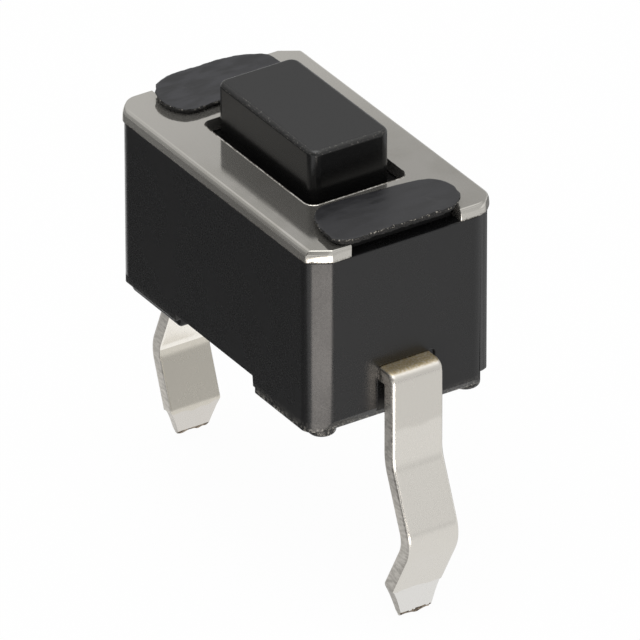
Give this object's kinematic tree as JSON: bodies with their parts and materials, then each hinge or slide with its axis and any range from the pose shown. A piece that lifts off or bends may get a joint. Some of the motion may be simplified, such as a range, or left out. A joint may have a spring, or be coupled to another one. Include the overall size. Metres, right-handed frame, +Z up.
{
  "type": "tactile push button switch",
  "caption": "Small tactile push button switch with a low rectangular button, a staked metal cover and kinked leads for a circuit board.",
  "frame": {"origin": "middle of the board plane that the four feet stand on", "axes": "+X along the body towards the outer terminal's lead, +Y across the body, +Z up out of the board to the button"},
  "size_m": [0.0078, 0.0036, 0.0078],
  "materials": {
    "housing": "black moulded nylon, satin gloss",
    "cover_plate": "bright rolled stainless sheet, die-rolled edge",
    "button": "black moulded nylon, satin",
    "snap_dome": "bright spring steel",
    "terminals": "brass with bright silver plating"
  },
  "bodies": {
    "base": {"housing": "housing", "cover_plate": "cover_plate", "snap_dome": "snap_dome", "outer_terminal": "terminals", "centre_terminal": "terminals"},
    "push_button": {"button": "button"}
  },
  "joints": [
    {"name": "button_press", "type": "slide", "parent": "base", "child": "push_button", "axis": [0, 0, -1], "range_m": [0, 0.00025], "stiffness_N_per_m": 6400, "deforming": ["snap_dome"]}
  ]
}
